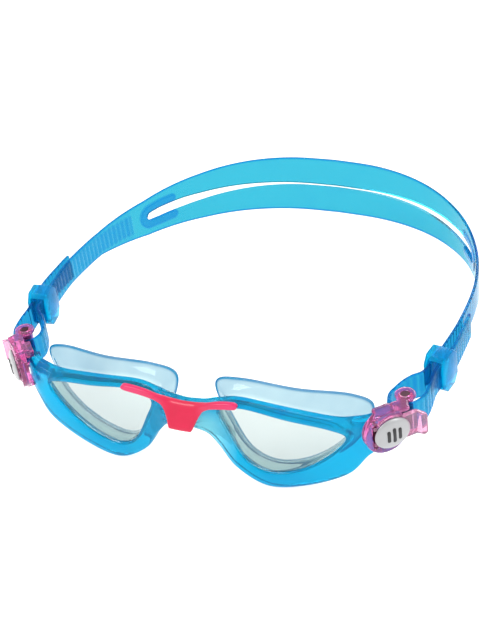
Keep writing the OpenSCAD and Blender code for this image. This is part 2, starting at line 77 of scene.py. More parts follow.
def closed_curve(marks, t):
    """The closed curve through marks at t, counted in marks."""
    n = len(marks)
    i = math.floor(t)
    return between(marks[(i - 1) % n], marks[i % n], marks[(i + 1) % n], marks[(i + 2) % n], t - i)


def open_curve(marks, steps):
    """Points along the open curve through marks."""
    n = len(marks)
    points = [between(marks[max(i - 1, 0)], marks[i], marks[i + 1], marks[min(i + 2, n - 1)], k / steps)
              for i in range(n - 1) for k in range(steps)]
    return points + [marks[-1]]


def straight_through(marks, x):
    """The height at x of the line that joins marks of (x, height)."""
    for (x0, h0), (x1, h1) in zip(marks, marks[1:]):
        if x <= x1:
            return mix(h0, h1, share(x, x0, x1))
    return marks[-1][1]


def placed(x, y, z):
    """A place round the face as a vertex of the finished piece."""
    return Vector((x, y + FACE_ZERO.y, z + FACE_ZERO.z)) * MM


# ---- Modelling ----

def only(piece):
    bpy.ops.object.select_all(action="DESELECT")
    piece.select_set(True)
    bpy.context.view_layer.objects.active = piece


def edit(piece, kind="VERT"):
    only(piece)
    bpy.ops.object.mode_set(mode="EDIT")
    bpy.ops.mesh.select_mode(type=kind)
    bpy.ops.mesh.select_all(action="DESELECT")
    return bmesh.from_edit_mesh(piece.data)


def leave_edit():
    bpy.ops.object.mode_set(mode="OBJECT")


def named(name):
    piece = bpy.context.object
    piece.name = piece.data.name = name
    return piece


def grown(name, rings, closed=False):
    """A skin through rings of points: a circle whose edge is extruded from ring to ring."""
    count = len(rings[0])
    bpy.ops.object.select_all(action="DESELECT")
    bpy.ops.mesh.primitive_circle_add(vertices=count, radius=MM)
    piece = named(name)
    bpy.ops.object.mode_set(mode="EDIT")
    mesh = bmesh.from_edit_mesh(piece.data)
    around = mesh.verts.layers.int.new("around")
    mesh.verts.ensure_lookup_table()
    for k, vertex in enumerate(mesh.verts):
        vertex[around] = k
        vertex.co = rings[0][k]
    bpy.ops.mesh.select_all(action="SELECT")
    if not closed:
        bpy.ops.mesh.edge_face_add()
        bpy.ops.mesh.select_mode(type="EDGE")
    for ring in rings[1:] + (rings[:1] if closed else []):
        bpy.ops.mesh.extrude_edges_move()
        mesh = bmesh.from_edit_mesh(piece.data)
        around = mesh.verts.layers.int["around"]
        for vertex in mesh.verts:
            if vertex.select:
                vertex.co = ring[vertex[around]]
        bmesh.update_edit_mesh(piece.data)
    if not closed:
        bpy.ops.mesh.edge_face_add()
    bpy.ops.mesh.select_all(action="SELECT")
    if closed:
        bpy.ops.mesh.remove_doubles(threshold=1e-7)
    bpy.ops.mesh.normals_make_consistent(inside=False)
    leave_edit()
    return piece


def modified(piece, kind, **settings):
    """Adds one modifier and applies it."""
    only(piece)
    modifier = piece.modifiers.new(kind.lower(), kind)
    for key, value in settings.items():
        setattr(modifier, key, value)
    bpy.ops.object.modifier_apply(modifier=modifier.name)
    return piece


def finer(piece, levels):
    return modified(piece, "SUBSURF", levels=levels, render_levels=levels)


def smooth(piece, degrees=40):
    only(piece)
    bpy.ops.object.shade_smooth_by_angle(angle=math.radians(degrees))
    return piece


def joined(name, pieces):
    bpy.ops.object.select_all(action="DESELECT")
    for piece in pieces:
        piece.select_set(True)
    bpy.context.view_layer.objects.active = pieces[0]
    bpy.ops.object.join()
    return named(name)


def mirrored_copy(piece, name):
    """The same piece on the other side of the face."""
    copy = bpy.data.objects.new(name, piece.data.copy())
    bpy.context.scene.collection.objects.link(copy)
    copy.data.name = name
    copy.data.transform(Matrix.Scale(-1, 4, (1, 0, 0)))
    copy.data.flip_normals()
    return copy


def both_halves(piece):
    """Opens the piece on the middle plane and adds its mirror image there."""
    mesh = edit(piece)
    for face in mesh.faces:
        face.select = all(abs(v.co.x) < 0.02 * MM for v in face.verts)
    bpy.ops.mesh.select_mode(type="FACE")
    bpy.ops.mesh.delete(type="FACE")
    leave_edit()
    return modified(piece, "MIRROR", use_axis=(True, False, False), merge_threshold=0.02 * MM)


# ---- Finishes ----

class Value:
    """A socket that takes part in sums: each operator adds a Math node."""

    def __init__(self, finish, socket):
        self.finish, self.socket = finish, socket

    def maths(self, operation, *others):
        return self.finish.node("ShaderNodeMath", {"operation": operation}, *others)["Value"]

    def __add__(self, other):
        return self.maths("ADD", self, other)

    def __sub__(self, other):
        return self.maths("SUBTRACT", self, other)

    def __rsub__(self, other):
        return self.maths("SUBTRACT", other, self)

    def __mul__(self, other):
        return self.maths("MULTIPLY", self, other)

    __radd__, __rmul__ = __add__, __mul__


class Outputs:
    def __init__(self, finish, node):
        self.finish, self.node = finish, node

    def __getitem__(self, name):
        return Value(self.finish, self.node.outputs[name])


class Finish:
    """A material on one shader, with the nodes that drive it."""

    def __init__(self, name, **settings):
        self.material = bpy.data.materials.new(name)
        self.material.use_nodes = True
        self.tree = self.material.node_tree
        self.shader = next(n for n in self.tree.nodes if n.type == "BSDF_PRINCIPLED")
        self.set(**settings)
        self.place = self.node("ShaderNodeTexCoord", {})["Object"]

    def connect(self, socket, value):
        if isinstance(value, Value):
            self.tree.links.new(value.socket, socket)
        else:
            socket.default_value = value

    def set(self, **settings):
        for key, value in settings.items():
            self.connect(self.shader.inputs[key.replace("_", " ")], value)
        return self

    def node(self, kind, settings, *values, **inputs):
        made = self.tree.nodes.new(kind)
        for key, value in settings.items():
            setattr(made, key, value)
        for socket, value in zip(made.inputs, values):
            self.connect(socket, value)
        for key, value in inputs.items():
            self.connect(made.inputs[key.replace("_", " ")], value)
        return Outputs(self, made)

    def noise(self, size, detail=2.0, roughness=0.5, place=None):
        """Soft blotches about that many metres across, from 0 to 1."""
        return self.node("ShaderNodeTexNoise", {}, Vector=place or self.place, Scale=1 / size,
                         Detail=detail, Roughness=roughness)["Fac"]

    def stretched(self, x, y, z):
        return self.node("ShaderNodeMapping", {}, Vector=self.place, Scale=(x, y, z))["Vector"]

    def spread(self, value, low, high, start=0.3, end=0.7):
        """value from start to end, turned into a number from low to high."""
        return self.node("ShaderNodeMapRange", {}, Value=value, From_Min=start, From_Max=end,
                         To_Min=low, To_Max=high)["Result"]

    def blended(self, amount, a, b):
        """The colour a turned into b by an amount from 0 to 1."""
        made = self.node("ShaderNodeMix", {"data_type": "RGBA", "blend_type": "MIX"})
        self.connect(made.node.inputs["Factor"], amount)
        for socket, value in zip([s for s in made.node.inputs if s.type == "RGBA"], (a, b)):
            self.connect(socket, value)
        return Value(self, next(s for s in made.node.outputs if s.type == "RGBA"))

    def bumped(self, height, strength, depth):
        self.set(Normal=self.node("ShaderNodeBump", {}, Height=height, Strength=strength,
                                  Distance=depth)["Normal"])
        return self


def colour(red, green, blue):
    """A colour given as screen values from 0 to 255."""
    return tuple(((c / 255 + 0.055) / 1.055) ** 2.4 if c > 10 else c / 3295
                 for c in (red, green, blue)) + (1,)


def moulded(name, body, deep, clarity, roughness, bend=1.45, flow=0.02, swing=0.08, sheen=0.06,
            gloss=0.3, shade=None, pale=None):
    """A translucent moulding: its colour drifts a little with the flow of the melt, and
    deepens where the piece's tint says so; the tint holds painted shade along some edges, shade adds a
    painted shade, and pale a pallor that is partly painted light."""
    finish = Finish(name, IOR=bend, Transmission_Weight=clarity, Specular_IOR_Level=sheen,
                    Coat_Weight=gloss, Coat_Roughness=0.05)
    drift = finish.spread(finish.noise(flow, 3.0, 0.55), -swing, swing)
    tint = finish.node("ShaderNodeAttribute", {"attribute_name": "tint"})["Fac"]
    amount = tint + drift
    if shade:
        amount = amount + shade(finish)
    tone = finish.blended(amount, body, deep)
    if pale:
        tone = finish.blended(nose_pallor_and_painted_light(finish), tone, pale)
    finish.set(Base_Color=tone)
    finish.set(Roughness=finish.spread(finish.noise(0.004), roughness * 0.7, roughness * 1.3))
    return finish.bumped(finish.noise(0.0025, 3.0), 0.12, 0.0002)


def painted_rim_shade(finish):
    """Painted shade: the frame's colour is darkened along its top edge, in fine streaks that follow the
    edge.
    """
    height = finish.node("ShaderNodeSeparateXYZ", {}, Vector=finish.place)["Z"]
    top = finish.spread(height, 0, 1, 0.022, 0.03)
    streaks = finish.spread(finish.noise(0.0016, 2.0, 0.5, finish.stretched(0.1, 0.1, 1)), -0.5, 0.9)
    return top * (streaks - 0.1)


def nose_pallor_and_painted_light(finish):
    """The frame is thinner, and paler, beside the nose and below the bridge; the wearer's left side is made
    paler than the right, a painted light.
    """
    split = finish.node("ShaderNodeSeparateXYZ", {}, Vector=finish.place)
    beside = finish.node("ShaderNodeMath", {"operation": "ABSOLUTE"}, split["X"])["Value"]
    thin = finish.spread(beside, 0.85, 0, 0.009, 0.019) * finish.spread(split["Z"], 1, 0, 0.024, 0.03)
    # Painted light: the pale share is full on the wearer's left and only a tenth on the right, where the
    # lamps fall less.
    return thin * finish.spread(split["X"], 0.1, 1, -0.003, 0.003)


def make_finishes():
    made = {
        # The frame takes a painted shade along its top edge and a painted light on one side beside the
        # nose.
        "frame": moulded("aqua elastomer", colour(0, 178, 222), colour(0, 154, 220), 0.78, 0.05,
                         bend=1.28, flow=0.012, swing=0.2, sheen=0.03, gloss=0.05,
                         shade=painted_rim_shade, pale=colour(150, 226, 238)),
        "strap": moulded("aqua silicone", colour(54, 170, 194), colour(0, 116, 190), 0.9, 0.12,
                         bend=1.15, sheen=0.02, gloss=0.02),
        "keeper": moulded("aqua silicone sleeve", colour(0, 188, 236), colour(0, 168, 222), 0.8, 0.12,
                          bend=1.2, sheen=0.02, gloss=0.04),
        "seal": moulded("clear silicone", colour(205, 230, 229), colour(0, 106, 158), 0.97, 0.05,
                        bend=1.12),
        "lens": moulded("clear polycarbonate", colour(198, 208, 206), colour(193, 204, 202), 1.0, 0.02,
                        bend=1.3, sheen=0.3),
        "rose": moulded("rose polycarbonate", colour(242, 124, 198), colour(206, 44, 150), 0.88, 0.05,
                        flow=0.005, swing=0.5, sheen=0.3),
        "tab": moulded("light rose polycarbonate", colour(242, 180, 212), colour(228, 120, 182), 0.85,
                       0.05, flow=0.006, swing=0.4, sheen=0.3),
    }

    cover = Finish("pink elastomer", IOR=1.46, Coat_Weight=0.25, Coat_Roughness=0.2)
    tone = cover.blended(cover.spread(cover.noise(0.006), 0, 1), colour(208, 12, 66), colour(198, 10, 60))
    cover.set(Roughness=cover.spread(cover.noise(0.002), 0.3, 0.42))
    across = cover.node("ShaderNodeSeparateXYZ", {}, Vector=cover.place)["X"]
    across = cover.node("ShaderNodeMath", {"operation": "ABSOLUTE"}, across)["Value"]
    cover.set(Base_Color=cover.blended(cover.spread(across, 0, 1, 0.005, 0.018), tone, colour(212, 26, 92)))
    made["cover"] = cover.bumped(cover.noise(0.0008, 3.0), 0.15, 0.0002)

    pearl = Finish("pearl silver", IOR=1.5, Coat_Weight=0.6, Coat_Roughness=0.08, Metallic=0.35)
    flakes = pearl.node("ShaderNodeTexVoronoi", {}, Vector=pearl.place, Scale=9000.0)["Distance"]
    pearl.set(Base_Color=pearl.blended(pearl.spread(flakes, 0, 1, 0, 0.8),
                                       colour(176, 177, 178), colour(158, 159, 161)),
              Roughness=pearl.spread(pearl.noise(0.003), 0.3, 0.4))
    made["pearl"] = pearl.bumped(flakes, 0.05, 0.0001)

    steel = Finish("dark plum steel", Metallic=0.6)
    grain = steel.noise(0.0006, 4.0, 0.6, steel.stretched(1, 1, 0.05))
    steel.set(Base_Color=steel.blended(steel.spread(grain, 0, 1), colour(46, 14, 30), colour(78, 34, 52)),
              Roughness=steel.spread(grain, 0.25, 0.45))
    made["steel"] = steel.bumped(grain, 0.1, 0.0001)

    ink = Finish("black rubber", Roughness=0.5)
    ink.set(Base_Color=ink.blended(ink.noise(0.001), colour(22, 22, 24), colour(34, 34, 36)))
    made["ink"] = ink.bumped(ink.noise(0.0005), 0.1, 0.0001)
    return made


finishes = make_finishes()


def finished(piece, finish, body, slot, *replaced):
    """Gives the piece its finish and its place in the frame."""
    piece.data.materials.clear()
    piece.data.materials.append(finishes[finish].material)
    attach(piece, body)
    if replaced:
        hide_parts(*replaced)
    return piece


# ---- The wrapped front ----

APERTURE_GAP, APERTURE_W, APERTURE_H, APERTURE_LOW = 25.6, 44.8, 25.1, -15.8
APERTURE_SHARES = [(0.01, 0.9), (0.2, 1), (0.55, 0.89), (0.87, 0.8), (1, 0.68),
                   (0.86, 0.37), (0.63, 0.1), (0.38, 0), (0.2, 0.16), (0.07, 0.58)]
APERTURE = [(APERTURE_GAP / 2 + APERTURE_W * x, APERTURE_LOW + APERTURE_H * z) for x, z in APERTURE_SHARES]
# Outline of one half of the frame: the mark of the lens opening that it faces, x and z
OUTLINE = [(-0.35, 0, 8.2), (-0.27, 1.3, 8.22), (0, 5.5, 8.7), (0.45, 11.5, 9.9), (1, 20, 11.4),
           (2, 37.7, 9.3), (3, 53.8, 7.3), (3.5, 62, 8.2), (3.8, 70.2, 8.0), (4.2, 70.2, -2.2),
           (4.5, 64.6, -6.6), (5, 57.8, -13.9), (6, 43.5, -19.9), (7, 29.3, -21.9), (8, 17.8, -15.6),
           (8.6, 11.5, -6.8), (9.1, 5, 0.2), (9.32, 1.3, 0.38), (9.4, 0, 0.4), (9.45, 0, 0.45),
           (9.6, 0, 8.15)]
# How far the seal's flange stands out from each mark of the opening
FLANGE_REACH = [(-5.6, 3.6), (-4, 3.8), (0, 4.8), (4.4, 6.6), (6, 4.4),
                (3.6, -3.6), (1.6, -4.2), (-0.6, -3.8), (-3.6, -3), (-4.6, -1.8)]
FLANGE = [(a[0] + f[0], a[1] + f[1]) for a, f in zip(APERTURE, FLANGE_REACH)]
WRAP_R, LEAN, FRAME_T = 328.0, 0.1, 5.0
JOIN_START, JOIN_END = 4.6, 9.6
BRIDGE_SLOPE, COVER_T, BRIDGE_T, SEAT_GAP = 0.59, 1.8, 2.6, 0.1
SLOPE_STRETCH = math.hypot(1, BRIDGE_SLOPE)
BRIDGE_LOW_Z, BRIDGE_HIGH_Z = 0.4, 8.2
LUG_START, LUG_BEND = 60, 0.045
RIM_STEPS = 8


def wrap_y(x, z):
    return 2 + WRAP_R - math.sqrt(WRAP_R ** 2 - x * x) + LEAN * z


def cover_front(x, z):
    s = share(abs(x), JOIN_START, JOIN_END)
    return mix(COVER_FOOT_Y + BRIDGE_SLOPE * z, wrap_y(x, z) - COVER_T - SEAT_GAP, s)


def cover_depth(x):
    return COVER_T * mix(SLOPE_STRETCH, 1, share(abs(x), JOIN_START, JOIN_END))


def frame_y(x, z, depth):
    """How far back a place of the frame is, at a depth of 0 to FRAME_T behind its front."""
    s = eased(abs(x), JOIN_START, JOIN_END + 1)
    front = mix(cover_front(x, z) + cover_depth(x) + SEAT_GAP, wrap_y(x, z), s)
    lug_bend = LUG_BEND * max(0, abs(x) - LUG_START) ** 2
    return front + depth * mix(BRIDGE_T * SLOPE_STRETCH / FRAME_T, 1, s) + lug_bend


def outline_at(t, marks):
    """The frame's outline at t, counted in its marks: its opening's mark, x and z."""
    n = len(marks)
    i = math.floor(t) % n
    shape = closed_curve([m[1:] for m in marks], t)
    here, there = marks[i][0], marks[(i + 1) % n][0]
    there += len(APERTURE) if there < here else 0
    x, z = max(0.0, shape[0]), shape[1]
    if x <= 0.01:
        z = min(max(z, BRIDGE_LOW_Z), BRIDGE_HIGH_Z)
    return mix(here, there, t - math.floor(t)), x, z


def toward(a, b, distance):
    """The place that distance from a on the way to b."""
    length = math.dist(a, b)
    return mix(a[0], b[0], distance / length), mix(a[1], b[1], distance / length)


def to_edge(point, edge):
    """The shortest way from a point to a closed line."""
    best = 1e9
    for (ax, az), (bx, bz) in edge:
        dx, dz = bx - ax, bz - az
        s = share((point[0] - ax) * dx + (point[1] - az) * dz, 0, dx * dx + dz * dz + 1e-9)
        best = min(best, math.hypot(point[0] - ax - s * dx, point[1] - az - s * dz))
    return best


rays = []
for step in range(RIM_STEPS * len(OUTLINE)):
    facing, ox, oz = outline_at(step / RIM_STEPS, OUTLINE)
    rays.append((closed_curve(APERTURE, facing), (ox, oz)))
outer_edge = [(a[1], b[1]) for a, b in zip(rays, rays[1:] + rays[:1]) if a[1][0] + b[1][0] > 0.02]


def rounded_in(distance, radius, reach):
    """How much a rounded edge falls away at that distance from it."""
    s = 1 - share(distance, 0, reach)
    return radius * (1 - math.sqrt(max(0.0, 1 - s * s)))


def make_frame():
    """The soft frame: rims, bridge and lugs in one moulding."""
    def crown(a, o, p):
        along = math.dist(a, p) / max(1e-6, math.dist(a, o))
        return -0.35 * math.sin(math.pi * along)

    def front(a, o, p):
        return p, crown(a, o, p) + rounded_in(to_edge(p, outer_edge), 1.5, 1.5)

    def back(p):
        return p, FRAME_T - rounded_in(to_edge(p, outer_edge), 0.8, 1.0)

    # Each level is a place between the opening's edge a and the outer edge o, and its depth
    rings = []
    profile = [
        lambda a, o: (a, 1.3), lambda a, o: (a, 0.6), lambda a, o: (toward(a, o, 0.12), 0.25),
        lambda a, o: (toward(a, o, 0.45), 0.0),
        lambda a, o: front(a, o, toward(a, o, 1.0)),
        lambda a, o: front(a, o, toward(a, o, 0.42 * math.dist(a, o))),
        lambda a, o: front(a, o, toward(a, o, 0.6 * math.dist(a, o))),
        lambda a, o: front(a, o, toward(o, a, 1.0)),
        lambda a, o: front(a, o, toward(o, a, 0.4)),
        lambda a, o: (o, 1.6), lambda a, o: (o, 2.3),
        lambda a, o: (toward(o, a, 0.4), 2.65), lambda a, o: (toward(o, a, 0.4), 3.15),
        lambda a, o: (o, 3.5), lambda a, o: (o, 4.2),
        lambda a, o: back(toward(o, a, 0.35)), lambda a, o: back(toward(o, a, 1.0)),
        lambda a, o: back(toward(a, o, 0.5 * math.dist(a, o))),
        lambda a, o: (toward(a, o, 1.6), FRAME_T), lambda a, o: (toward(a, o, 1.3), 4.7),
        lambda a, o: (toward(a, o, 1.3), 1.5), lambda a, o: (toward(a, o, 1.15), 1.3)]
    for level in profile:
        ring = []
        for a, o in rays:
            (x, z), depth = level(a, o)
            ring.append(placed(x, frame_y(x, z, depth), z))
        rings.append(ring)
    frame_piece = both_halves(grown("soft_frame", rings, closed=True))
    return smooth(finer(frame_piece, 1), 60)


# Where the seal's tube sits in the rim: the way outwards from each mark of the opening
SEAT_REACH = [(-3.6, 2.4), (-1.5, 2.5), (0.3, 2.8), (2, 3), (8, 1),
              (6.5, -7.4), (2.5, -6.6), (-0.5, -6.1), (-4.2, -4.4), (-4.4, -2.8)]
SEAT = [(a[0] + r[0], a[1] + r[1]) for a, r in zip(APERTURE, SEAT_REACH)]
# Edges of the saddle over the nose, as x and height
SADDLE_LOWS = [(0, -1), (3, -1.4), (6, -2.8), (9, -5.2), (12.6, -8), (14.6, -10.3), (16.4, -12.4)]
SADDLE_HIGHS = [(0, 7.8), (3, 7.9), (6, 8.2), (9, 8.4), (12.6, 6.5), (14.6, 1.6), (16.4, -3.2)]
SADDLE_STOPS = [-16.4, -14.6, -12.6, -9.6, -8, -6.4, -4.6, -2.3, 0]
SEAL_FRONT, SADDLE_T, ROLLED_EDGE = 3.15, 1.5, 10.6


def make_seal():
    """The clear seal: a tube and a flange with a rolled edge round each eye, and the saddle."""
    # Each level is a place between the opening's edge a and the seat o or flange f, and its depth
    profile = [lambda a, o, f: (a, SEAL_FRONT), lambda a, o, f: (toward(a, o, 1.15), SEAL_FRONT),
               lambda a, o, f: (toward(a, o, 1.15), 4.9),
               lambda a, o, f: (toward(a, f, 1.0), 6), lambda a, o, f: (toward(a, f, 1.0), 8.4),
               lambda a, o, f: (toward(a, f, 0.62 * math.dist(a, f)), 10.2),
               lambda a, o, f: (toward(f, a, 0.7), 11.15), lambda a, o, f: (f, 11.1),
               lambda a, o, f: (toward(f, a, -0.35), 11.4), lambda a, o, f: (toward(f, a, -0.35), 12.0),
               lambda a, o, f: (f, 12.25), lambda a, o, f: (toward(f, a, 0.8), 12.0),
               lambda a, o, f: (toward(a, f, 0.55 * math.dist(a, f)), 11.3),
               lambda a, o, f: (a, 9), lambda a, o, f: (a, 6)]
    rings = []
    stations = [k / RIM_STEPS for k in range(RIM_STEPS * len(APERTURE))]
    for level in profile:
        ring = []
        for t in stations:
            a, f = closed_curve(APERTURE, t), closed_curve(FLANGE, t)
            o = closed_curve(SEAT, t)
            (x, z), depth = level(a, o, f)
            ring.append(placed(x, wrap_y(x, z) + depth, z))
        rings.append(ring)
    left = finer(grown("seal_left", rings, closed=True), 1)
    right = mirrored_copy(left, "seal_right")
    sections = []
    for x in SADDLE_STOPS + [-x for x in reversed(SADDLE_STOPS[:-1])]:
        low, high = straight_through(SADDLE_LOWS, abs(x)), straight_through(SADDLE_HIGHS, abs(x))
        section = []
        for z, depth in ((low, 0), (mix(low, high, 0.5), 0), (high, 0), (high, SADDLE_T),
                         (mix(low, high, 0.5), SADDLE_T), (low, SADDLE_T)):
            s = share(abs(x), JOIN_START, JOIN_END)
            bridge = cover_front(x, z) + cover_depth(x) + SEAT_GAP + BRIDGE_T * SLOPE_STRETCH + SEAT_GAP
            section.append(placed(x, mix(bridge, wrap_y(x, z) + FRAME_T + SEAT_GAP, s) + depth, z))
        sections.append(section)
    saddle = finer(grown("saddle", sections), 1)
    for other in (left, right):
        only(saddle)
        union = saddle.modifiers.new("union", "BOOLEAN")
        union.operation, union.solver, union.object = "UNION", "EXACT", other
        bpy.ops.object.modifier_apply(modifier=union.name)
    for other in (left, right):
        bpy.data.objects.remove(other)
    only(saddle)
    seal = named("clear_face_seal")
    edge = [closed_curve(FLANGE, t) for t in stations]
    edge = list(zip(edge, edge[1:] + edge[:1]))
    mesh = edit(seal)
    tint = mesh.verts.layers.float.new("tint")
    for vertex in mesh.verts:
        x, y, z = (vertex.co - placed(0, 0, 0)) / MM
        depth = y - wrap_y(x, z)
        # Painted shade: towards the flange's rolled edge the tint rises to full deep blue, for the dark
        # line that refraction draws along that edge.
        if depth > ROLLED_EDGE:
            vertex[tint] = 1 - 0.6 * share(to_edge((abs(x), z), edge), 0.1, 0.75)
        else:
            vertex[tint] = 0.08 + 0.32 * share(depth, 6, 8)
    leave_edit()
    return smooth(seal, 80)


# Edges of the cover over the nose, as x and height
COVER_LOWS = [(0, 0), (4.3, 0.1), (5.9, 3.8), (7.7, 6.9), (10.4, 8.4), (14, 9), (18.4, 9.4), (22.4, 9.6),
              (23.6, 10), (24, 10.6)]
COVER_HIGHS = [(0, 8.8), (4.3, 9), (5.9, 9.3), (7.7, 9.9), (10.4, 10.8), (14, 11.7), (18.4, 12.2),
               (22.4, 12.2), (23.6, 11.8), (24, 11.2)]
COVER_STOPS = [0, 2.4, 3.9, 4.3, 4.7, 5.2, 5.9, 6.8, 7.7, 9, 10.4, 12, 14, 16.2, 18.4, 20.4, 22.2,
               23, 23.6, 23.9]
# Its rounded section: how far in from the low edge, or below zero from the high edge,
# and the share of its depth
COVER_SECTION = [(0, 0.75), (0.12, 0.3), (0.5, 0.03), (1, 0), (-1, 0), (-0.5, 0.03), (-0.12, 0.3),
                 (-0.0001, 0.75), (-0.0001, 1), (0, 1)]
COVER_ROUND = 0.7
ARM_START, ARM_TIP = 8, 24
# How far each arm reaches, as a share of the longer one: the wearer's right (-1) and left (1)
ARM_SHARES = {-1: 1.0, 1: 0.87}


def make_cover():
    """The slip-on cover: a shield with rounded edges and an arm along each brow."""
    rings = []
    for x in [-x for x in reversed(COVER_STOPS[1:])] + COVER_STOPS:
        low, high = straight_through(COVER_LOWS, abs(x)), straight_through(COVER_HIGHS, abs(x))
        end = math.sqrt(max(0.05, 1 - share(abs(x), 22.6, 24.05) ** 2))
        low, high = mix((low + high) / 2, low, end), mix((low + high) / 2, high, end)
        depth = cover_depth(x)
        edge = min(COVER_ROUND, 0.3 * (high - low))
        ring = []
        for height, back in COVER_SECTION:
            z = (low if height >= 0 else high) + height * edge
            if abs(height) == 1:
                z = mix(low, high, 0.5 + 0.3 * (-height))
            across = x * mix(1, ARM_SHARES[-1 if x < 0 else 1], share(abs(x), ARM_START, ARM_TIP))
            ring.append(placed(across, cover_front(x, z) + back * depth, z))
        rings.append(ring)
    return smooth(finer(grown("nose_cover", rings), 1), 50)


# ---- Strap ----

PIN = (74.396, 22.4754)
STRAP_PIN_Z, STRAP_H, STRAP_BACK_H, STRAP_T = 6.2, 10.4, 25.4, 1.4
SLOT_H, SLOT_END_H, LAYER_GAP = 1.1, 4.4, 2.0
LOOP_BULGE, LOOP_BACK, LOOP_SQUARE = 5.9, 89.0, 2.35
KEEPER_L, TAIL_L = 10.8, 21.0
HALF_W, WIDEST_Y = PIN[0] + LOOP_BULGE, PIN[1] + 45.5
BACK_MID_Y = WIDEST_Y + LOOP_BACK
RUN_START = (PIN[0] + LOOP_BULGE - 3.5, PIN[1] + 14.2)
RUN_END = (PIN[0] + LOOP_BULGE - 1, PIN[1] + 31)
RUN_L = math.dist(RUN_START, RUN_END)
RUN_DIR = ((RUN_END[0] - RUN_START[0]) / RUN_L, (RUN_END[1] - RUN_START[1]) / RUN_L)
RUN_OUT = (RUN_DIR[1], -RUN_DIR[0])
LOOP_MARKS = [(6, 8), (5.8, 3.6), (4.7, 0.1), (2.5, -2.8), (-0.3, -4.4), (-3, -4.3), (-4.9, -2.8),
              (-5.6, -0.6), (-5.8, 1.3), (-5.1, 4), (-3.6, 7.3), (-1.3, 10.5)]
# Height of the strap's middle line at each y
STRAP_Z = [(PIN[1] + y, STRAP_PIN_Z + z)
           for y, z in ((-6, 0), (4, 0.05), (14.2, 1.7), (31, 2.2), (45.5, 2.4))]
STRAP_Z += [(WIDEST_Y + s * LOOP_BACK, STRAP_PIN_Z + z)
            for s, z in ((0.25, 1.6), (0.55, -1), (0.8, -0.8), (1, 0.3))]
SLOT_Y = WIDEST_Y + 0.55 * LOOP_BACK
RIB_PITCH, RIB_STEPS, RIB_H = 2.6, 8, 0.25
RIB_END_Y, ARM_END_Y = 109, 130
FINE_STEP, LONG_STEP = 0.5, 1.5
# The raised band round each end of the slot: its radius, its height, and a distance past it
BAND_R, BAND_H, OFF_BAND = 1.7, 0.35, 9
LEAST_GAP = 0.12
# How far the plain face and the ribbed face lie from the strap's middle
PLAIN_SIDE, RIBBED_SIDE = 0.6, 0.55


def run_point(along, out):
    return tuple(RUN_START[k] + along * RUN_DIR[k] + out * RUN_OUT[k] for k in (0, 1))


def back_arc(degrees):
    c, s = max(0.0, math.cos(math.radians(degrees))), math.sin(math.radians(degrees))
    return HALF_W * c ** (2 / LOOP_SQUARE), WIDEST_Y + LOOP_BACK * s ** (2 / LOOP_SQUARE)


def strap_route():
    """The strap's middle line seen from above, from the tail's end to the middle of the back."""
    step = STRAP_T + LAYER_GAP
    marks = [run_point(RUN_L / 2 + KEEPER_L / 2 + TAIL_L, STRAP_T - 0.9)]
    marks += [run_point(s * RUN_L, step) for s in (1, 0.5, 0)]
    marks += [(PIN[0] + x, PIN[1] + y) for x, y in LOOP_MARKS]
    marks += [run_point(s * RUN_L, 0) for s in (0, 0.5, 1)]
    marks += [back_arc(a) for a in range(0, 91, 9)]
    points = open_curve(marks, 24)
    lengths = [0.0]
    for a, b in zip(points, points[1:]):
        lengths.append(lengths[-1] + math.dist(a, b))
    return points, lengths


ROUTE, ROUTE_LENGTHS = strap_route()
ROUTE_L = ROUTE_LENGTHS[-1]
TURN = ROUTE_LENGTHS[min(range(len(ROUTE)), key=lambda i: ROUTE[i][1])]


def on_route(along):
    """A place of the middle line and its direction."""
    i = max(1, min(len(ROUTE) - 1, bisect.bisect_left(ROUTE_LENGTHS, along)))
    s = (along - ROUTE_LENGTHS[i - 1]) / (ROUTE_LENGTHS[i] - ROUTE_LENGTHS[i - 1])
    a, b = ROUTE[i - 1], ROUTE[i]
    before, after = ROUTE[max(0, i - 3)], ROUTE[min(len(ROUTE) - 1, i + 2)]
    length = math.dist(before, after)
    if along >= ROUTE_L:
        return (0.0, BACK_MID_Y), (-1.0, 0.0)
    direction = (after[0] - before[0]) / length, (after[1] - before[1]) / length
    return (mix(a[0], b[0], s), mix(a[1], b[1], s)), direction


def along_at(y):
    """How far along the strap its layer next to the head reaches y."""
    return next(length for length, p in zip(ROUTE_LENGTHS, ROUTE) if length > TURN and p[1] >= y)


def half_height(y):
    return mix(STRAP_H, STRAP_BACK_H, share(y, WIDEST_Y + 0.25 * LOOP_BACK, BACK_MID_Y)) / 2


def slot_half(y):
    marks = [(0, 0.38 * SLOT_END_H), (0.15, 0.5 * SLOT_END_H), (0.4, 0.5 * SLOT_END_H),
             (0.75, 0.25 * (SLOT_END_H + SLOT_H)), (1, 0.5 * SLOT_H)]
    return straight_through(marks, (y - SLOT_Y) / (BACK_MID_Y - SLOT_Y))


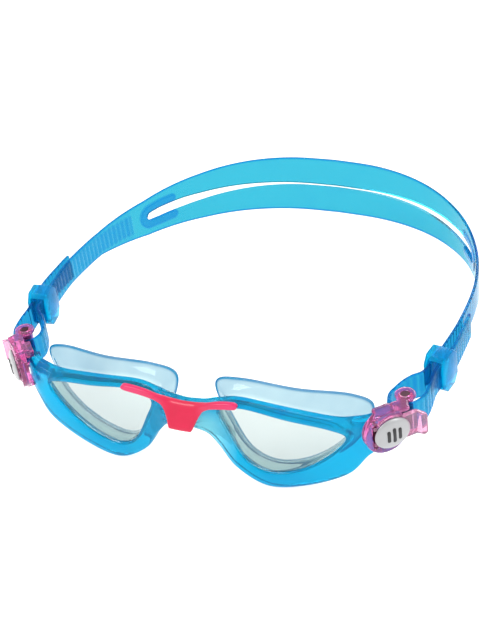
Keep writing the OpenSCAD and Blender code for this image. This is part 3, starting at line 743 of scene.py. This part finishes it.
def make_strap():
    """The strap: a flat grid with a slot, thickened, ribbed and laid round its route."""
    rib_end, slot_start = along_at(RIB_END_Y), along_at(SLOT_Y)
    arm_end = along_at(ARM_END_Y)
    stations, here = [], 0.0
    while here < ROUTE_L - FINE_STEP:
        stations.append(here)
        here += RIB_PITCH / RIB_STEPS if here < rib_end else FINE_STEP if here < arm_end + 1 else LONG_STEP
    stations.append(ROUTE_L)
    first_open = next(i for i, here in enumerate(stations) if here >= slot_start)
    slot_start = stations[first_open]
    shares = [1, 0.975, 0.93, 0.86, 0.76, 0.66, 0.57, 0.5, 0.44, 0.38, 0.32, 0.26, 0.2, 0.14, 0.07, 0]
    levels = [(-1, f) for f in shares] + [(1, f) for f in reversed(shares)]

    bpy.ops.object.select_all(action="DESELECT")
    bpy.ops.mesh.primitive_grid_add(x_subdivisions=len(stations) - 1, y_subdivisions=len(levels) - 1,
                                    size=2)
    piece = named("split_strap")
    mesh = edit(piece, "FACE")
    for vertex in mesh.verts:
        vertex.co = (round((vertex.co.x + 1) / 2 * (len(stations) - 1)),
                     round((vertex.co.y + 1) / 2 * (len(levels) - 1)), 0)
    for face in mesh.faces:
        middle = face.calc_center_median()
        face.select = abs(middle.y - len(shares) + 0.5) < 0.1 and middle.x > first_open
    bpy.ops.mesh.delete(type="FACE")
    leave_edit()
    modified(piece, "SOLIDIFY", thickness=0.5, offset=0)

    mesh = edit(piece)
    tint = mesh.verts.layers.float.new("tint")
    for vertex in mesh.verts:
        here = stations[round(vertex.co.x)]
        side, out = levels[round(vertex.co.y)], 1 if vertex.co.z > 0 else -1
        (x, y), (dx, dy) = on_route(here)
        half = half_height(y)
        gap = LEAST_GAP
        full = slot_half(y)
        into = here - slot_start
        if into >= 0:
            gap = max(gap, full * math.sqrt(max(0.0, 1 - max(0.0, 1 - into / full) ** 2)))
        height = side[0] * (gap + side[1] * (half - gap))
        to_edge_mm = half - abs(height)
        round_off = 1 - 0.55 * (1 - share(to_edge_mm, 0, 0.5)) ** 2
        ribbed = share(here, 1.2, 1.8) * (1 - share(here, rib_end, rib_end + 0.4))
        inset = mix(0.5, 2.6, share(y, WIDEST_Y + 0.2 * LOOP_BACK, RIB_END_Y)) if here > TURN else 0.4
        ribbed *= share(to_edge_mm, inset, inset + 0.5)
        rib = ribbed * (0.5 - 0.5 * math.cos(2 * math.pi * here / RIB_PITCH)) ** 0.35
        away = math.hypot(into - full, height) - full if into < full else abs(height) - gap
        arm = OFF_BAND
        if here > rib_end:
            arm = math.hypot(away - BAND_R, max(0.0, here - arm_end + BAND_R))
        band = 1 - share(arm, 1.35, 1.75)
        # Painted shade: a dark ring at the edge of the raised band round the slot, for the dark line that
        # refraction draws there.
        outline = share(arm, 1.1, 1.5) * (1 - share(arm, 1.75, 2.1))
        if out > 0:
            depth = PLAIN_SIDE * round_off
        else:
            depth = -RIBBED_SIDE * round_off - RIB_H * rib - BAND_H * band
        zone = 1 - share(here, rib_end, rib_end + 0.6)
        # Painted shade: the strap's long edges are tinted deep, for the dark line that refraction draws
        # along them.
        painted_edge_shade = 1 - share(to_edge_mm, 0.25, 0.6)
        vertex[tint] = min(1.0, max(zone * (0.15 + 0.55 * rib), painted_edge_shade, 0.6 * band, 0.9 * outline))
        vertex.co = placed(x + depth * dy, y - depth * dx, straight_through(STRAP_Z, y) + height)
    leave_edit()
    both_halves(piece)
    only(piece)
    bpy.ops.object.mode_set(mode="EDIT")
    bpy.ops.mesh.select_all(action="SELECT")
    bpy.ops.mesh.normals_make_consistent(inside=False)
    leave_edit()
    return smooth(piece, 70)


# ---- Buckles and keepers ----

CAP_PLACE = (74.2, wrap_y(74.2, 0) - 0.5)
BUCKLE_TURN, BUCKLE_Z, CAP_Z = math.radians(48), 3.8, 1.2


def buckle_place(u, v, z):
    """A place of the left buckle: u runs back along it, v inwards from the cap's face."""
    c, s = math.cos(BUCKLE_TURN), math.sin(BUCKLE_TURN)
    return placed(CAP_PLACE[0] + u * c - v * s, CAP_PLACE[1] + u * s + v * c, BUCKLE_Z + z)


def copied(name, node):
    """A clean copy of a construction piece to work on."""
    source = nodes[node]
    piece = bpy.data.objects.new(name, source.data.copy())
    bpy.context.scene.collection.objects.link(piece)
    piece.data.name = name
    edit(piece)
    bpy.ops.mesh.select_all(action="SELECT")
    bpy.ops.mesh.remove_doubles(threshold=1e-6)
    bpy.ops.mesh.dissolve_limited(angle_limit=math.radians(1))
    leave_edit()
    return piece


def remoulded(name, node, voxel, rounds):
    """A construction piece with the soft edges of a moulding."""
    piece = copied(name, node)
    modified(piece, "REMESH", mode="VOXEL", voxel_size=voxel * MM, adaptivity=0.0)
    modified(piece, "SMOOTH", factor=0.5, iterations=rounds)
    return smooth(piece, 180)


def make_keeper():
    """The sleeve that holds the strap's tail, with rounded edges."""
    piece = copied("strap_sleeve_left", "strap_keeper_left")
    modified(piece, "BEVEL", width=0.45 * MM, segments=3, limit_method="ANGLE",
             angle_limit=math.radians(30))
    return smooth(piece, 50)


def make_shell():
    """The buckle's body, which carries the lever."""
    return remoulded("buckle_shell_left", "buckle_body_left", 0.22, 6)


def make_lever():
    """The release lever with its finger tab."""
    return remoulded("release_lever_left", "lever_left", 0.16, 4)


CAP_HALF_W, CAP_HALF_H, CAP_SIDES = 6.7, 5.95, 48
# The cap's dome: a share of its half size, and how far inwards the surface lies there
CAP_DOME = [(0.05, -0.6), (0.22, -0.56), (0.45, -0.42), (0.66, -0.17), (0.82, 0.12), (0.93, 0.42),
            (0.985, 0.7)]
BAR_HALF_T, BAR_PITCH, BAR_SIDES = 0.6, 2.1, 24
# Each bar's place across the cap, counted in pitches, and its half length
BARS = [(-1, 2.3), (0, 2.9), (1, 2.3)]


def make_cap():
    """A domed oval cap with a rolled edge."""
    rings = []
    for size, v in [(0.97, 1.25), (1.0, 1.1), (1.0, 0.9)] + CAP_DOME[::-1]:
        wide, high = CAP_HALF_W * size, CAP_HALF_H * size
        rings.append([buckle_place(wide * math.cos(a), v, CAP_Z + high * math.sin(a))
                      for a in (2 * math.pi * k / CAP_SIDES for k in range(CAP_SIDES))])
    return smooth(finer(grown("oval_cap_left", rings), 1), 60)


def make_grips():
    """Three dark grip bars set in the cap."""
    bars = []
    for k, length in BARS:
        rings = []
        for out, lift in ((1.0, 0.3), (1.0, -0.17), (0.75, -0.22)):
            ring = []
            for step in range(BAR_SIDES):
                a = 2 * math.pi * step / BAR_SIDES
                z = math.copysign(length - BAR_HALF_T, math.sin(a)) + BAR_HALF_T * out * math.sin(a)
                u = BAR_PITCH * k + BAR_HALF_T * out * math.cos(a)
                dome = straight_through(CAP_DOME, math.hypot(u / CAP_HALF_W, z / CAP_HALF_H))
                ring.append(buckle_place(u, dome + lift, CAP_Z + z))
            rings.append(ring)
        bars.append(grown("bar", rings))
    return smooth(joined("grip_bars_left", bars), 50)


# ---- Camera, light and floor ----

def make_camera():
    """The camera, turned round the goggles, raised and rolled a little."""
    turn, height, roll = (math.radians(a) for a in (27.80, 34.71, -7.87))
    away = Vector((math.sin(turn) * math.cos(height), -math.cos(turn) * math.cos(height), math.sin(height)))
    level = Vector((math.cos(turn), math.sin(turn), 0))
    upright = away.cross(level)
    right = math.cos(roll) * level + math.sin(roll) * upright
    up = -math.sin(roll) * level + math.cos(roll) * upright
    target, distance = placed(-0.53, 54.3, 8.0), 0.55
    axes = Matrix((right, up, away)).transposed().to_4x4()
    camera = bpy.data.objects.new("camera", bpy.data.cameras.new("camera"))
    bpy.context.scene.collection.objects.link(camera)
    camera.matrix_world = Matrix.Translation(target + away * distance) @ axes
    camera.data.lens, camera.data.sensor_width = 83.24, 36
    camera.data.clip_start = 0.01
    bpy.context.scene.camera = camera


def add_light(name, place, aim, size, power):
    light = bpy.data.lights.new(name, "AREA")
    light.shape, light.size, light.size_y, light.energy = "RECTANGLE", size[0], size[1], power
    lamp = bpy.data.objects.new(name, light)
    bpy.context.scene.collection.objects.link(lamp)
    lamp.location = place
    lamp.rotation_euler = (Vector(aim) - Vector(place)).to_track_quat("-Z", "Y").to_euler()


def make_studio():
    """A pale floor, a white sky and three soft lamps."""
    bpy.ops.object.select_all(action="DESELECT")
    bpy.ops.mesh.primitive_plane_add(size=6)
    floor = named("floor")
    paper = Finish("lit studio paper", Roughness=0.9, Specular_IOR_Level=0.0, Emission_Strength=0.8)
    tone = paper.blended(paper.noise(0.05), (0.52, 0.52, 0.52, 1), (0.54, 0.54, 0.54, 1))
    paper.set(Base_Color=tone, Emission_Color=(1, 1, 1, 1))
    floor.data.materials.append(paper.material)
    world = bpy.context.scene.world or bpy.data.worlds.new("studio")
    bpy.context.scene.world = world
    world.use_nodes = True
    sky = next(n for n in world.node_tree.nodes if n.type == "BACKGROUND")
    sky.inputs["Color"].default_value = (1, 1, 1, 1)
    sky.inputs["Strength"].default_value = 0.9
    add_light("key", (-0.5, -0.5, 0.9), (0, 0, 0), (0.5, 0.35), 5)
    add_light("side", (0.8, -0.1, 0.5), (0, 0, 0), (0.3, 0.5), 2.5)
    add_light("back", (0.1, 0.8, 0.6), (0, 0, 0), (0.8, 0.2), 3)
    settings = bpy.context.scene
    settings.view_settings.view_transform = "Standard"
    settings.cycles.max_bounces = 24
    settings.cycles.transmission_bounces = 24
    settings.cycles.transparent_max_bounces = 24


make_camera()
make_studio()
finished(make_frame(), "frame", "root", "aqua_frame", "front_frame")
finished(make_seal(), "seal", "root", "clear_seal", "face_seal")
finished(make_cover(), "cover", "root", "pink_cover", "bridge_cover")
finished(make_strap(), "strap", "root", "aqua_strap", "strap")

# What makes each left piece, its finish, body and slot, and the construction node it replaces
sided = [(make_keeper, "keeper", "keeper", "aqua_strap", "strap_keeper"),
         (make_shell, "rose", "root", "rose_buckle", "buckle_body"),
         (make_lever, "tab", "lever", "rose_buckle", "lever"),
         (make_cap, "pearl", "lever", "pearl_cap", "lever_cap"),
         (make_grips, "ink", "lever", "pearl_cap", None)]
for make, finish, body, slot, node in sided:
    left = make()
    right = mirrored_copy(left, left.name.replace("_left", "_right"))
    for piece, side in ((left, "left"), (right, "right")):
        own_body = body if body == "root" else body + "_" + side
        finished(piece, finish, own_body, slot, *([node + "_" + side] if node else []))

for start, finish in (("lens_", "lens"), ("strap_pin", "steel"), ("lever_pin", "steel"),
                      ("lever_spring", "steel"), ("strap_roller", "rose")):
    for name, piece in nodes.items():
        if name.startswith(start):
            piece.data.materials.clear()
            piece.data.materials.append(finishes[finish].material)
